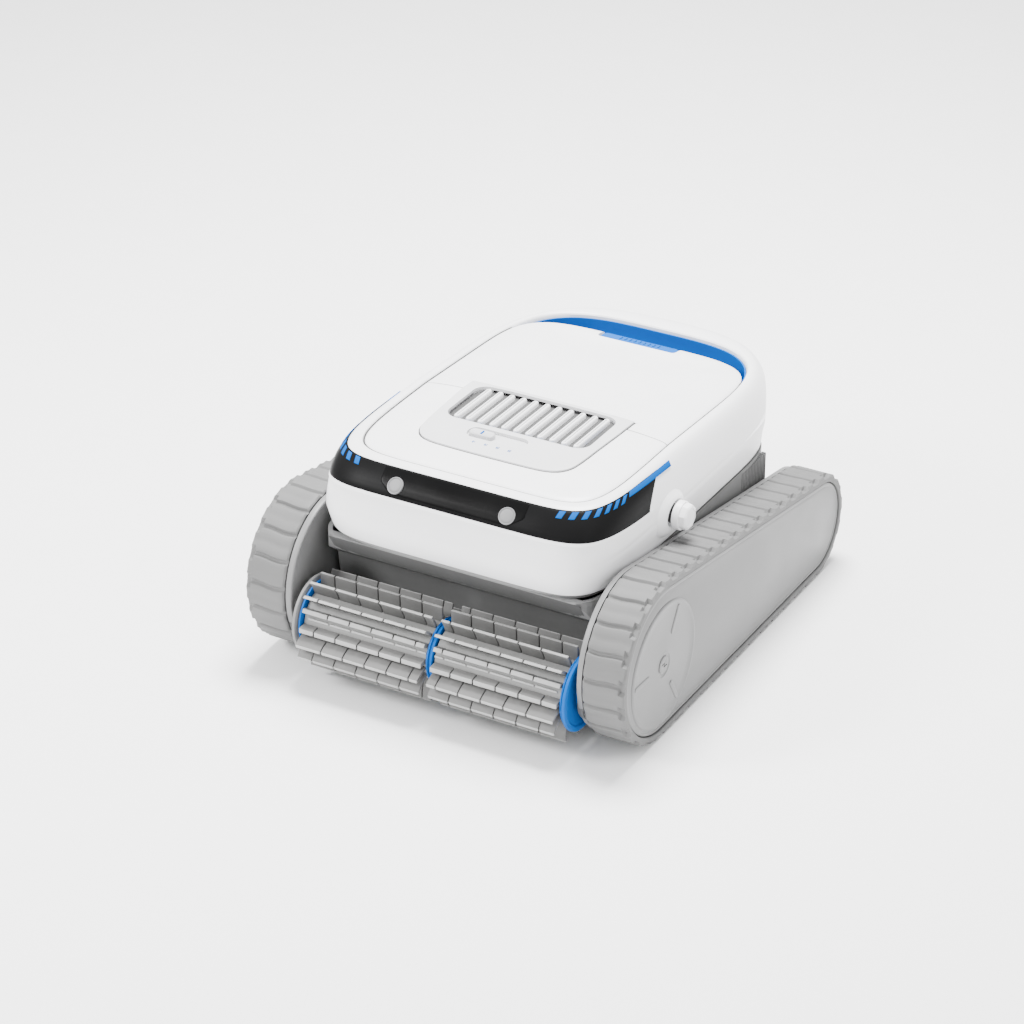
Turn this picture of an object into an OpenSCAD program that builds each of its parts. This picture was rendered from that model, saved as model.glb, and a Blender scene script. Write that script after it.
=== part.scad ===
// Tracked robotic pool cleaner, cordless, with a front scrubbing brush and a rear debris lid.
// Frame: +X to the machine's left-hand side seen from the front, +Y to the rear, +Z up,
// origin on the ground at the centre of the overall length and width. Millimetres.

/* [Overall] */
// Overall width over both tracks
track_w_all = 400; // [360:1:440]
// Width of each track belt
belt_w = 42; // [30:1:60]

/* [Tracks] */
// Front wheel centre, Y
fw_y = -150; // [-170:1:-130]
// Front loop radius to the lug tops
fw_r = 81; // [60:1:90]
// Rear wheel centre, Y
rw_y = 186; // [160:1:200]
// Rear loop radius to the lug tops
rw_r = 55; // [40:1:70]
// Lug height
lug_h = 4; // [2:0.5:8]
// Thickness of the belt's band
band_t = 4; // [3:0.5:8]
// Number of lugs in each belt
lug_n = 42; // [30:1:60]
// Position of the first lug along the loop
lug_s = 9.6; // [0:0.1:25]

/* [Brush] */
// Brush axis, Y
br_y = -200; // [-220:1:-180]
// Brush axis, Z
br_z = 58; // [50:1:70]
// Brush tip radius
br_r = 50; // [40:1:56]
// Brush core radius
br_core = 26; // [15:1:32]
// Half length of the brush
br_len = 141; // [100:1:143]
// Rows of paddles
br_rows = 8; // [6:1:12]
// Paddles in each half row
br_cols = 6; // [4:1:10]

/* [Shell] */
// Half width of the shell
sh_w = 150; // [130:1:152]
// Height of the shell's lower edge
sh_z0 = 140; // [130:1:150]
// Rear face of the carry handle rim, Y
sh_y1 = 254; // [240:1:262]
// Wall thickness of the shell
sh_t = 4; // [2:0.5:6]
// Half width of the opening in the shell's top
op_w = 131; // [110:1:136]

/* [Lid] */
// Hinge axis, Y
hg_y = -8.5; // [-12:0.5:-5]
// Hinge axis, Z
hg_z = 221.5; // [215:0.5:224]
// Front edge of the lid
lid_y0 = -14; // [-20:0.5:-5]
// Rear edge of the lid
lid_y1 = 187; // [170:1:195]
// Underside of the lid's skirt
lid_z0 = 205; // [200:0.5:210]

/* [Fits] */
// Radial clearance of a running shaft
run_fit = 0.05; // [0.02:0.01:0.10]
// Gap between parts that only pass each other
gap = 0.5; // [0.3:0.1:1.5]

/* [Hidden] */
$fn = 48;
RING = 56;
white = [0.93, 0.93, 0.94];
grey = [0.56, 0.56, 0.56];
pale = [0.74, 0.74, 0.74];
dark = [0.20, 0.20, 0.21];
blue = [0.20, 0.56, 0.95];
steel = [0.72, 0.73, 0.75];
green = [0.10, 0.36, 0.20];
fw_z = fw_r;
rw_z = rw_r;
tx1 = track_w_all / 2;
tx0 = tx1 - belt_w;
R1 = fw_r - lug_h;
R2 = rw_r - lug_h;
run_len = rw_y - fw_y;
tilt = atan2(rw_z - fw_z, run_len);
a_top = 90 + 2 * tilt;
arc_r = R2 * (a_top + 90) * PI / 180;
arc_f = R1 * (270 - a_top) * PI / 180;
loop_len = 2 * run_len + arc_r + arc_f;
pitch = loop_len / lug_n;
fi_r = R1 - band_t;
ri_r = R2 - band_t;
plate_x0 = 151;
plate_x1 = 156.5;
cover_x0 = 186;
axle_r = 8;
stub_r = 6;
pump_y = -38;
basket_y0 = 10;
basket_y1 = 150;
basket_w = 105;
flap_y = 38;
flap_z = 76;
cap_y = -47;
cap_z = 171;
slide_z = 226;

// Superellipse outline: half width, front and rear reach, centre line, front and rear exponents.
function se(i, w, yf, yb, nf, nb, yc = 60) =
  let(t = i * 360 / RING, c = cos(t), s = sin(t), n = s < 0 ? nf : nb)
  [w * sign(c) * pow(abs(c), 2 / n),
   yc + (s < 0 ? yc - yf : yb - yc) * sign(s) * pow(abs(s), 2 / n)];

// One ring of the shell: outline at height z, falling towards the rear by k.
function ring(w, yf, yb, nf, nb, z, k = 0, g = 0) =
  [for (i = [0:RING - 1]) let(p = se(i, w + g, yf - g, yb + g, nf, nb))
    [p[0], p[1], z - k * max(0, p[1] + 15)]];

function centre(r) = [0, 60, r[0][2]];

module loft(rs) {
  m = len(rs);
  pts = concat([for (r = rs) each r], [centre(rs[0]), centre(rs[m - 1])]);
  nb = m * RING;
  polyhedron(points = pts, faces = concat(
    [for (k = [0:m - 2], i = [0:RING - 1]) let(j = (i + 1) % RING)
      [k * RING + i, (k + 1) * RING + i, (k + 1) * RING + j]],
    [for (k = [0:m - 2], i = [0:RING - 1]) let(j = (i + 1) % RING)
      [k * RING + i, (k + 1) * RING + j, k * RING + j]],
    [for (i = [0:RING - 1]) [nb, i, (i + 1) % RING]],
    [for (i = [0:RING - 1]) [nb + 1, (m - 1) * RING + (i + 1) % RING, (m - 1) * RING + i]]));
}

// Outer skin of the shell, grown by g.
module skin(g = 0) {
  loft([ring(sh_w - 1, -193, 201, 8, 5, sh_z0, 0, g), ring(sh_w, -198, 203, 8, 5, 152, 0, g),
    ring(sh_w, -200, 204, 8, 5, 173, 0, g), ring(sh_w + 0.6, -200, 252.5, 8, 3, 176, 0, g),
    ring(sh_w, -197, sh_y1, 8, 3, 196, 0, g),
    ring(147, -186, 252.5, 8, 3, 212, 0.03, g), ring(143.5, -177, 250, 8, 3, 219.5, 0.042, g),
    ring(140, -172, 246, 8, 3, 222.5, 0.045, g)]);
}

// Flat prism on a superellipse outline.
module prism(w, yf, yb, nf, nb, z0, z1) {
  translate([0, 0, z0])
    linear_extrude(z1 - z0)
      polygon([for (i = [0:RING - 1]) se(i, w, yf, yb, nf, nb)]);
}

// Domed top surface shared by the deck and the lid, lowered by d and shrunk by g.
module dome(z0, d = 0, g = 0) {
  loft([ring(op_w - 1 - g, -161 + g, lid_y1 - g, 8, 5, z0),
    ring(op_w - 1 - g, -161 + g, lid_y1 - g, 8, 5, 220.5 - d, 0.045),
    ring(op_w - 4 - g, -158 + g, lid_y1 - 3 - g, 8, 5, 222.3 - d, 0.045),
    ring(112 - g, -142 + g, 168 - g, 7, 4.5, 224.8 - d, 0.045),
    ring(84 - g, -112 + g, 140 - g, 6, 4, 226.5 - d, 0.045),
    ring(30, -30, 90, 4, 3, 227.2 - d, 0.045)]);
}

// Point on the belt loop at path length s, h above the band's outer face; 2D, [y, z].
function arcp(c, r, a, h) = [c[0] + (r + h) * cos(a), c[1] + (r + h) * sin(a)];
function loopp(s0, h) = let(s = (s0 + loop_len) % loop_len)
  s < run_len ? [fw_y + s, lug_h - h] :
  s < run_len + arc_r ? arcp([rw_y, rw_z], R2, -90 + (s - run_len) * 180 / PI / R2, h) :
  s < 2 * run_len + arc_r ?
    let(u = (s - run_len - arc_r) / run_len,
        a = arcp([rw_y, rw_z], R2, a_top, h), b = arcp([fw_y, fw_z], R1, a_top, h))
    a + (b - a) * u :
  arcp([fw_y, fw_z], R1, a_top + (s - 2 * run_len - arc_r) * 180 / PI / R1, h);

// Closed stadium around both wheels with end radii ra and rb; 2D, [y, z].
module stadium(ra, rb) {
  b = asin((ra - rb) / sqrt(run_len * run_len + (rw_z - fw_z) * (rw_z - fw_z)));
  a1 = tilt + 90 - b;
  a0 = tilt - 90 + b;
  translate([fw_y, fw_z]) circle(r = ra, $fn = 96);
  translate([rw_y, rw_z]) circle(r = rb, $fn = 96);
  polygon([arcp([fw_y, fw_z], ra, a1, 0), arcp([rw_y, rw_z], rb, a1, 0),
    arcp([rw_y, rw_z], rb, a0, 0), arcp([fw_y, fw_z], ra, a0, 0)]);
}

// Extrude a [y, z] outline along X from x0 to x1.
module along_x(x0, x1) {
  translate([x0, 0, 0]) rotate([90, 0, 90]) linear_extrude(x1 - x0) children();
}

module rod(x0, x1, y, z, r) {
  translate([x0, y, z]) rotate([0, 90, 0]) cylinder(r = r, h = x1 - x0);
}

module box(x0, x1, y0, y1, z0, z1) {
  translate([x0, y0, z0]) cube([x1 - x0, y1 - y0, z1 - z0]);
}

module mirrored(side) {
  if (side > 0) children();
  else mirror([1, 0, 0]) children();
}

module base_tray() {
  color(grey) difference() {
    intersection() {
      along_x(-148, 148) polygon([[-190, 139.8], [-176, 118], [-152, 100], [-145, 58],
        [-150, 34], [-138, 18], [180, 18], [196, 34], [200, 139.8]]);
      prism(148, -192, 198, 12, 6, 0, 150);
    }
    intersection() {
      along_x(-144, 144) polygon([[-184, 145], [-171, 120], [-147, 102.5], [-141, 58],
        [-145.5, 35], [-136, 22], [178, 22], [192, 35.5], [194, 145]]);
      prism(144, -190, 194, 12, 6, 20, 150);
    }
    box(-40, 40, 40, 76, 10, 30);
  }
}

module front_panel() {
  color(dark) along_x(-126, 126)
    polygon([[-187.8, 135.9], [-176.6, 118.3], [-179.2, 116.6], [-190.4, 134.2]]);
}

module top_shell() {
  color(white) difference() {
    skin();
    prism(sh_w - sh_t - 1, -189, 197, 8, 5, 130, 171.5);
    prism(138, -182, 160, 8, 5, 171, 200);
    prism(123, -152, 172, 8, 5, 199, 240);
    prism(op_w, -162, lid_y1 + 1, 8, 5, 203, 240);
    difference() {
      prism(op_w - 4, -100, 223, 8, 3.6, 178, 240);
      prism(op_w + 4, -100, lid_y1 - 8, 8, 5, 170, 250);
      box(-160, 160, -120, 150, 170, 250);
    }
  }
}

module visor() {
  color(dark) intersection() {
    difference() {
      skin(1.1);
      skin(0.05);
    }
    along_x(-160, 160) polygon([[-215, 199], [-197, 197.5], [-170, 194], [-107, 189.5],
      [-66, 187], [-58, 211], [-110, 215.5], [-165, 220.5], [-215, 221.2]]);
  }
}

module lens(x) {
  color(pale) intersection() {
    difference() {
      skin(2.4);
      skin(1.15);
    }
    translate([x, -170, 210]) rotate([90, 0, 0]) cylinder(r = 7.5, h = 40);
  }
}

// Slanted ticks around the front corner and one long stripe along the side.
module light_bar(side) {
  color(blue) mirrored(side) intersection() {
    difference() {
      skin(2.2);
      skin(1.15);
    }
    union() {
      for (i = [0:6])
        translate([72, -88, 0]) rotate([0, 0, -68 + i * 11.6])
          translate([0, -3, 0]) rotate([25, 0, 0]) box(30, 130, 0, 6, 180, 240);
      box(100, 160, -112, -18, 180, 240);
    }
    along_x(60, 160) polygon([[-215, 212], [-165, 212], [-66, 207], [-18, 208],
      [-18, 213.5], [-110, 213.5], [-165, 218.6], [-215, 219.4]]);
  }
}

module top_deck() {
  color(white) difference() {
    dome(lid_z0 + 0.4);
    difference() {
      dome(lid_z0 - 5, 4.5, 6);
      box(-87.2, 87.2, -18, 2, 200, 240);
    }
    box(-160, 160, 2, 220, 190, 240);
    box(-160, -87.2, lid_y0 - 1.6, 10, 190, 240);
    box(87.2, 160, lid_y0 - 1.6, 10, 190, 240);
    box(-77, 77, -77, -1.5, 200, 240);
    box(-42, 28, -107, -79, 222, 240);
    for (s = [-1, 1]) rod(s * 82 - 6, s * 82 + 6, hg_y, hg_z, 1.6);
  }
}

// Pill-shaped recess plate for the mode slider, with four mark studs.
module control_panel() {
  color(pale) union() {
    difference() {
      box(-41.7, 27.7, -106.7, -79.3, 222.1, 225.4);
      box(-38, 24, -101, -82, 224, 240);
    }
    for (i = [0:3]) translate([-24 + i * 13, -103.9, 225]) cylinder(r = 1.5, h = 0.9);
  }
}

module outlet_duct() {
  color(grey) difference() {
    union() {
      box(-76.7, 76.7, -76.7, -1.8, 208, 219.5);
      translate([0, pump_y, 150]) cylinder(r = 36, h = 58.5);
    }
    box(-73.7, 73.7, -73.7, -4.8, 211, 230);
    translate([0, pump_y, 149]) cylinder(r = 33, h = 65);
  }
}

module grille() {
  color(white) difference() {
    union() {
      for (i = [0:10]) box(-66.7 + i * 12.7, -60.3 + i * 12.7, -73.4, -5.1, 214, 225.5);
      box(-73.4, 73.4, -30, -26, 212, 216);
      box(-73.4, 73.4, -54, -50, 212, 216);
    }
    for (i = [0:10]) box(-64.1 + i * 12.7, -62.9 + i * 12.7, -70, -9, 224.2, 230);
  }
}

module mode_slider() {
  color(pale) union() {
    box(-36, -10, -97, -86, 224.3, 229.5);
    box(-24, -22, -95, -88, 229.5, 230.1);
  }
}

// Lining of the hand slot between the lid and the rear rim.
module handle_liner() {
  color(blue) difference() {
    prism(op_w - 4.4, -100, 222.6, 8, 3.6, 178.4, 209);
    prism(op_w + 4, -100, lid_y1 - 7.6, 8, 5, 170, 250);
    box(-160, 160, -120, 151, 170, 250);
    difference() {
      prism(op_w - 7.4, -100, 219.6, 8, 3.6, 181, 250);
      prism(op_w + 4, -100, lid_y1 + 1.5, 8, 5, 170, 202);
      prism(op_w + 4, -100, lid_y1 - 9, 8, 5, 170, 250);
    }
    prism(op_w + 4, -100, lid_y1 + 1.5, 8, 5, 202, 250);
  }
}

module lid_seal() {
  color(dark) difference() {
    prism(129, -100, 176, 8, 5, 203.2, 204.6);
    prism(124.5, -120, 171.6, 8, 5, 200, 210);
    box(-160, 160, -160, 4, 200, 210);
  }
}

module rear_lid() {
  color(white) difference() {
    dome(lid_z0);
    difference() {
      dome(lid_z0 - 5, 4.5, 6);
      box(-128, -88, -20, -4, 200, 240);
      box(88, 128, -20, -4, 200, 240);
      box(-94, 94, -20, 9, 200, 240);
    }
    box(-160, 160, -220, lid_y0, 190, 240);
    box(-88.2, 88.2, -20, 3.2, 190, 240);
    for (s = [-1, 1]) translate([s * 110, lid_y0, 226.2]) rotate([45, 0, 0])
      cube([60, 4.4, 4.4], center = true);
    for (s = [-1, 1]) rod(s * 97 - 11, s * 97 + 11, hg_y, hg_z, 1.6 + run_fit);
    box(-43, 43, 165.5, 190, 208.5, 240);
    box(-30, 30, 160, 190, 205.6, 230);
  }
}

module hinge_pin(side) {
  color(steel) mirrored(side) rod(78, 104, hg_y, hg_z, 1.58);
}

module lid_latch() {
  color(blue) union() {
    box(-42, 42, 171, 185.8, 209, 213.6);
    box(-29, 29, 168, 182, 206.1, 209);
    box(-20, 20, 182, 190.5, 206.1, 208);
  }
}

module side_frame(side) {
  color(pale) mirrored(side) difference() {
    union() {
      along_x(plate_x0, plate_x1) stadium(78, 52);
      rod(148, plate_x0 + 1, -105, 78, 16);
      rod(148, plate_x0 + 1, 150, 70, 16);
    }
    rod(140, 160, br_y, br_z, stub_r + run_fit);
  }
}

module track_belt(side) {
  out = [for (i = [0:lug_n - 1]) let(s = lug_s + i * pitch)
    each [loopp(s - 11.6, 0), loopp(s - 9.4, lug_h), loopp(s, lug_h), loopp(s + 9.4, lug_h),
      loopp(s + 11.6, 0)]];
  color(pale) mirrored(side) along_x(tx0, tx1) difference() {
    polygon(out);
    stadium(fi_r, ri_r);
  }
}

module side_cover(side) {
  color(pale) mirrored(side) difference() {
    union() {
      along_x(cover_x0, 198.5) stadium(fi_r - 0.6, ri_r - 0.6);
      rod(190, 200, fw_y, 76, 62);
    }
    rod(199.2, 202, fw_y, 76, 59);
    rod(197, 202, fw_y, 76, 7);
  }
}

module axle(side, y, z) {
  color(steel) mirrored(side) union() {
    rod(plate_x1, cover_x0, y, z, axle_r);
    rod(plate_x1, plate_x1 + 2.5, y, z, 14);
  }
}

// Track wheel with a hub, a web with round holes and a ribbed rim.
module wheel(side, y, z, r, n) {
  color(grey) mirrored(side) translate([160, y, z]) rotate([0, 90, 0]) difference() {
    cylinder(r = r - 1, h = 24, $fn = 96);
    translate([0, 0, -1]) cylinder(r = axle_r + run_fit, h = 30);
    translate([0, 0, 14]) difference() {
      cylinder(r = r - 8, h = 12);
      translate([0, 0, -1]) cylinder(r = 15, h = 14);
    }
    for (i = [0:n - 1]) rotate([0, 0, i * 360 / n]) translate([(r + 8) / 2, 0, -1])
      cylinder(r = r / 6, h = 30);
  }
}

module brush_core() {
  color(grey) union() {
    rod(-br_len, br_len, br_y, br_z, br_core);
    rod(-155.5, 155.5, br_y, br_z, stub_r);
  }
}

// One half of the brush: a sleeve with staggered rows of flat paddles.
module brush_fins(side) {
  w = (br_len - 8) / br_cols;
  color(grey) translate([0, br_y, br_z]) union() {
    difference() {
      rod(side > 0 ? 4 : 5 - br_len, side > 0 ? br_len - 5 : -4, 0, 0, br_core + 2.5);
      rod(-br_len, br_len, 0, 0, br_core + 0.05);
    }
    for (k = [0:br_rows - 1]) rotate([k * 360 / br_rows - 8, 0, 0])
      for (i = [0:br_cols - 1]) {
        x0 = 4.5 + i * w + (k % 2) * 1.5;
        lean = k % 2 == 0 ? 8 : -2;
        rotate([lean, 0, 0]) translate([side > 0 ? x0 : -x0 - w + 3, -1.4, br_core + 1])
          cube([w - 3, 2.8, br_r - br_core - 1.1]);
      }
  }
}

module brush_ring() {
  color(blue) difference() {
    rod(-3.5, 3.5, br_y, br_z, 34);
    rod(-4, 4, br_y, br_z, br_core + 0.05);
  }
}

module brush_disc(side) {
  color(blue) mirrored(side) difference() {
    rod(br_len + 0.2, br_len + 4.2, br_y, br_z, 38);
    rod(br_len - 1, br_len + 6, br_y, br_z, stub_r + 0.05);
  }
}

module drive_motor(side) {
  color(steel) mirrored(side) union() {
    rod(78, 143, -105, 78, 19);
    rod(70, 78, -105, 78, 8);
  }
}

module pump_motor() {
  color(steel) translate([0, pump_y, 0]) union() {
    translate([0, 0, 92]) cylinder(r = 24, h = 60);
    translate([0, 0, 151]) cylinder(r = 4, h = 22);
    translate([0, 0, 22]) cylinder(r = 14, h = 71);
  }
}

module impeller() {
  color(grey) translate([0, pump_y, 0]) difference() {
    union() {
      translate([0, 0, 156]) cylinder(r = 9, h = 22);
      translate([0, 0, 156]) cylinder(r = 30, h = 2.5);
      for (a = [0:60:300]) rotate([0, 0, a]) translate([7, -1, 157]) rotate([25, 0, 0])
        cube([22, 2, 12]);
    }
    translate([0, 0, 150]) cylinder(r = 4 + run_fit, h = 23.5);
  }
}

module battery_pack() {
  color(dark) union() {
    box(-60, 60, -134, -70, 22, 54);
    for (i = [-2:2]) rod(i * 22 - 10, i * 22 + 10, -102, 54, 9);
  }
}

module control_board() {
  color(green) union() {
    box(-70, 70, -135, -82, 190, 192);
    box(-50, -30, -125, -105, 192, 196);
    box(10, 40, -120, -100, 192, 198);
    for (s = [-1, 1]) translate([s * 60, -95, 192]) cylinder(r = 3, h = 12);
  }
}

module intake_duct() {
  color(grey) difference() {
    box(-43, 43, 37, 79, 22, 70);
    box(-40, 40, 40, 76, 20, 72);
  }
}

module filter_basket() {
  color(pale) difference() {
    box(-basket_w, basket_w, basket_y0, basket_y1, 70, 198);
    box(-basket_w + 2.5, basket_w - 2.5, basket_y0 + 2.5, basket_y1 - 2.5, 73, 200);
    box(-40, 40, 40, 76, 60, 80);
  }
}

module filter_mesh() {
  color(dark) difference() {
    box(-basket_w + 2.6, basket_w - 2.6, basket_y0 + 2.6, basket_y1 - 2.6, 92, 186);
    box(-basket_w + 3.6, basket_w - 3.6, basket_y0 + 3.6, basket_y1 - 3.6, 90, 190);
  }
}

module inlet_flap() {
  color(dark) union() {
    box(-42, 42, flap_y, 80, 74, 76);
    rod(-42, 42, flap_y, flap_z, 1.8);
  }
}

module port_boss() {
  color(white) difference() {
    rod(150.8, 157, cap_y, cap_z, 17);
    rod(150, 160, cap_y, cap_z, 9.5);
  }
}

module charge_port() {
  color(dark) union() {
    rod(150.8, 153, cap_y, cap_z, 9.2);
    for (a = [0, 120, 240]) translate([0, cap_y + 4.5 * cos(a), cap_z + 4.5 * sin(a)])
      rod(152.5, 156, 0, 0, 1.2);
  }
}

module port_cap() {
  color(white) union() {
    rod(157.5, 166, cap_y, cap_z, 14);
    translate([165.5, cap_y, cap_z]) rotate([0, 90, 0]) cylinder(r = 13, h = 6.5, $fn = 8);
  }
}

base_tray();
front_panel();
top_shell();
visor();
lens(-58.3);  // lens_left
lens(58.3);  // lens_right
light_bar(-1);  // light_bar_left
light_bar(1);  // light_bar_right
top_deck();
control_panel();
outlet_duct();
grille();
mode_slider();
handle_liner();
lid_seal();
rear_lid();
hinge_pin(-1);  // hinge_pin_left
hinge_pin(1);  // hinge_pin_right
lid_latch();
side_frame(-1);  // side_frame_left
side_frame(1);  // side_frame_right
track_belt(-1);  // track_belt_left
track_belt(1);  // track_belt_right
side_cover(-1);  // side_cover_left
side_cover(1);  // side_cover_right
axle(-1, fw_y, fw_z);  // axle_front_left
axle(1, fw_y, fw_z);  // axle_front_right
axle(-1, rw_y, rw_z);  // axle_rear_left
axle(1, rw_y, rw_z);  // axle_rear_right
wheel(-1, fw_y, fw_z, fi_r, 6);  // drive_wheel_left
wheel(1, fw_y, fw_z, fi_r, 6);  // drive_wheel_right
wheel(-1, rw_y, rw_z, ri_r, 5);  // idler_wheel_left
wheel(1, rw_y, rw_z, ri_r, 5);  // idler_wheel_right
brush_core();
brush_fins(-1);  // brush_fins_left
brush_fins(1);  // brush_fins_right
brush_ring();
brush_disc(-1);  // brush_disc_left
brush_disc(1);  // brush_disc_right
drive_motor(-1);  // drive_motor_left
drive_motor(1);  // drive_motor_right
pump_motor();
impeller();
battery_pack();
control_board();
intake_duct();
filter_basket();
filter_mesh();
inlet_flap();
port_boss();
charge_port();
port_cap();
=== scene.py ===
"""Looks for the tracked robotic pool cleaner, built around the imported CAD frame."""
import math

import bmesh
import bpy
import numpy as np
from mathutils import Matrix, Vector
from mathutils.bvhtree import BVHTree


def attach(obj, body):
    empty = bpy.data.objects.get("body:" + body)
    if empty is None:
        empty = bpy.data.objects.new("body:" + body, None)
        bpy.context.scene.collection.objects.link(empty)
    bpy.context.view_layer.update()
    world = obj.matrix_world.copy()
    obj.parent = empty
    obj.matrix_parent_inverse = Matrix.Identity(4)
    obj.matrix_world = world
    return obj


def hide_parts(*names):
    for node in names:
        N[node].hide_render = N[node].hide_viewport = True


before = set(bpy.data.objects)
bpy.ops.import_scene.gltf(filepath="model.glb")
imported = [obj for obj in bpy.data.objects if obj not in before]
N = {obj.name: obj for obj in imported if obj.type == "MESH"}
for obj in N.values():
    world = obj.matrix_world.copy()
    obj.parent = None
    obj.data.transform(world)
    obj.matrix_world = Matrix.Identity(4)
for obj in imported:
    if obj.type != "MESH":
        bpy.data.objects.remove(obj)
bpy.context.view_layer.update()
MM = 0.001


# ---------- materials ----------

def plastic(name, col, rough=0.4, grain=900.0, bump=0.02, vary=0.035, coat=0.0, metal=0.0,
            mottle=22.0, spec=0.5, emit=0.0, sss=0.0):
    """Moulded plastic or rubber: fine grain bump, slight variation of tone and gloss."""
    m = bpy.data.materials.new(name)
    m.use_nodes = True
    nt = m.node_tree
    b = nt.nodes["Principled BSDF"]
    b.inputs["Metallic"].default_value = metal
    b.inputs["Specular IOR Level"].default_value = spec
    b.inputs["Coat Weight"].default_value = coat
    b.inputs["Coat Roughness"].default_value = 0.12
    if sss:
        b.inputs["Subsurface Weight"].default_value = sss
        b.inputs["Subsurface Scale"].default_value = 0.004
    co = nt.nodes.new("ShaderNodeTexCoord")
    n1 = nt.nodes.new("ShaderNodeTexNoise")
    n1.inputs["Scale"].default_value = mottle
    n1.inputs["Detail"].default_value = 4.0
    n2 = nt.nodes.new("ShaderNodeTexNoise")
    n2.inputs["Scale"].default_value = grain
    n2.inputs["Detail"].default_value = 2.0
    nt.links.new(co.outputs["Object"], n1.inputs["Vector"])
    nt.links.new(co.outputs["Object"], n2.inputs["Vector"])
    r = nt.nodes.new("ShaderNodeValToRGB")
    lo = [max(0.0, c * (1 - vary)) for c in col]
    hi = [min(1.0, c * (1 + vary)) for c in col]
    r.color_ramp.elements[0].position = 0.3
    r.color_ramp.elements[0].color = (*lo, 1)
    r.color_ramp.elements[1].position = 0.7
    r.color_ramp.elements[1].color = (*hi, 1)
    nt.links.new(n1.outputs["Fac"], r.inputs["Fac"])
    nt.links.new(r.outputs["Color"], b.inputs["Base Color"])
    mr = nt.nodes.new("ShaderNodeMapRange")
    mr.inputs["From Min"].default_value = 0.3
    mr.inputs["From Max"].default_value = 0.7
    mr.inputs["To Min"].default_value = max(0.03, rough - 0.05)
    mr.inputs["To Max"].default_value = min(1.0, rough + 0.06)
    nt.links.new(n1.outputs["Fac"], mr.inputs["Value"])
    nt.links.new(mr.outputs["Result"], b.inputs["Roughness"])
    bp = nt.nodes.new("ShaderNodeBump")
    bp.inputs["Strength"].default_value = bump
    bp.inputs["Distance"].default_value = 0.0006
    nt.links.new(n2.outputs["Fac"], bp.inputs["Height"])
    nt.links.new(bp.outputs["Normal"], b.inputs["Normal"])
    if emit:
        nt.links.new(r.outputs["Color"], b.inputs["Emission Color"])
        b.inputs["Emission Strength"].default_value = emit
    return m


WHITE = plastic("white_shell", (0.82, 0.82, 0.83), 0.34, bump=0.03, vary=0.012, coat=0.08)
WHITE2 = plastic("white_lid", (0.83, 0.83, 0.84), 0.38, bump=0.03, vary=0.012, coat=0.05)
CHASSIS = plastic("chassis_grey", (0.17, 0.17, 0.17), 0.5, bump=0.09, vary=0.05, spec=0.35)
FRAME = plastic("frame_grey", (0.17, 0.17, 0.17), 0.45, bump=0.06, vary=0.04, spec=0.4)
COVER = plastic("cover_grey", (0.165, 0.165, 0.165), 0.40, bump=0.05, vary=0.02, spec=0.4)
BELT = plastic("belt_rubber", (0.13, 0.13, 0.129), 0.6, grain=1400, bump=0.16, vary=0.05, spec=0.3)
BRUSH = plastic("brush_rubber", (0.15, 0.149, 0.146), 0.55, grain=1400, bump=0.14, vary=0.06, spec=0.3)
# Paler grey of the paddle tips and the brush's seam ribs: painted highlight along their lit edges.
BRUSH_HIGHLIGHT = plastic("brush_painted_highlight", (0.33, 0.33, 0.325), 0.5, grain=1400, bump=0.12, vary=0.05)
VISOR = plastic("visor_black", (0.006, 0.006, 0.0062), 0.34, bump=0.015, vary=0.05, spec=0.03)
VISOR2 = plastic("visor_window", (0.004, 0.004, 0.0041), 0.22, bump=0.005, vary=0.05, spec=0.03)
LENS = plastic("lens_frost", (0.15, 0.15, 0.153), 0.5, bump=0.02, vary=0.03)
BLUE = plastic("accent_blue", (0.003, 0.09, 0.35), 0.45, bump=0.04, vary=0.04, spec=0.05)
LIGHT = plastic("light_blue", (0.0008, 0.075, 0.30), 0.5, bump=0.01, vary=0.03, spec=0.0)
PANEL = plastic("panel_grey", (0.50, 0.50, 0.51), 0.42, bump=0.04, vary=0.02)
DARK = plastic("dark_panel", (0.07, 0.07, 0.07), 0.5, bump=0.06, vary=0.05, spec=0.3)
PLATE_GREY = plastic("plate_grey", (0.60, 0.60, 0.61), 0.42, bump=0.03, vary=0.012, spec=0.4)
CORE = plastic("brush_core_grey", (0.21, 0.21, 0.206), 0.5, bump=0.08, vary=0.04, spec=0.35)
# Black rubber of the lid seal and inlet flap; the seam ribbons also use it as painted shade in the
# grooves.
RUBBER_AND_SEAM_SHADE = plastic("seal_rubber_and_seam_shade", (0.03, 0.03, 0.03), 0.6, bump=0.1, vary=0.06)
BOARD = plastic("board_green", (0.012, 0.11, 0.04), 0.45, grain=300, bump=0.05, vary=0.15)
STEEL = plastic("turned_steel", (0.55, 0.56, 0.58), 0.28, grain=600, bump=0.05, vary=0.05,
                metal=1.0)


def woven(name):
    """Fine woven filter mesh: two crossed wave bumps over a dark thread colour."""
    m = plastic(name, (0.05, 0.052, 0.055), 0.7, bump=0.1, vary=0.12)
    nt = m.node_tree
    co = [n for n in nt.nodes if n.type == "TEX_COORD"][0]
    bp = [n for n in nt.nodes if n.type == "BUMP"][0]
    w = []
    for ax in ("X", "Z"):
        t = nt.nodes.new("ShaderNodeTexWave")
        t.bands_direction = ax
        t.inputs["Scale"].default_value = 160.0
        nt.links.new(co.outputs["Object"], t.inputs["Vector"])
        w.append(t)
    mx = nt.nodes.new("ShaderNodeMath")
    mx.operation = "MULTIPLY"
    nt.links.new(w[0].outputs["Fac"], mx.inputs[0])
    nt.links.new(w[1].outputs["Fac"], mx.inputs[1])
    nt.links.new(mx.outputs[0], bp.inputs["Height"])
    bp.inputs["Strength"].default_value = 0.6
    return m


MESH = woven("filter_weave")


# ---------- mesh helpers ----------

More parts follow.
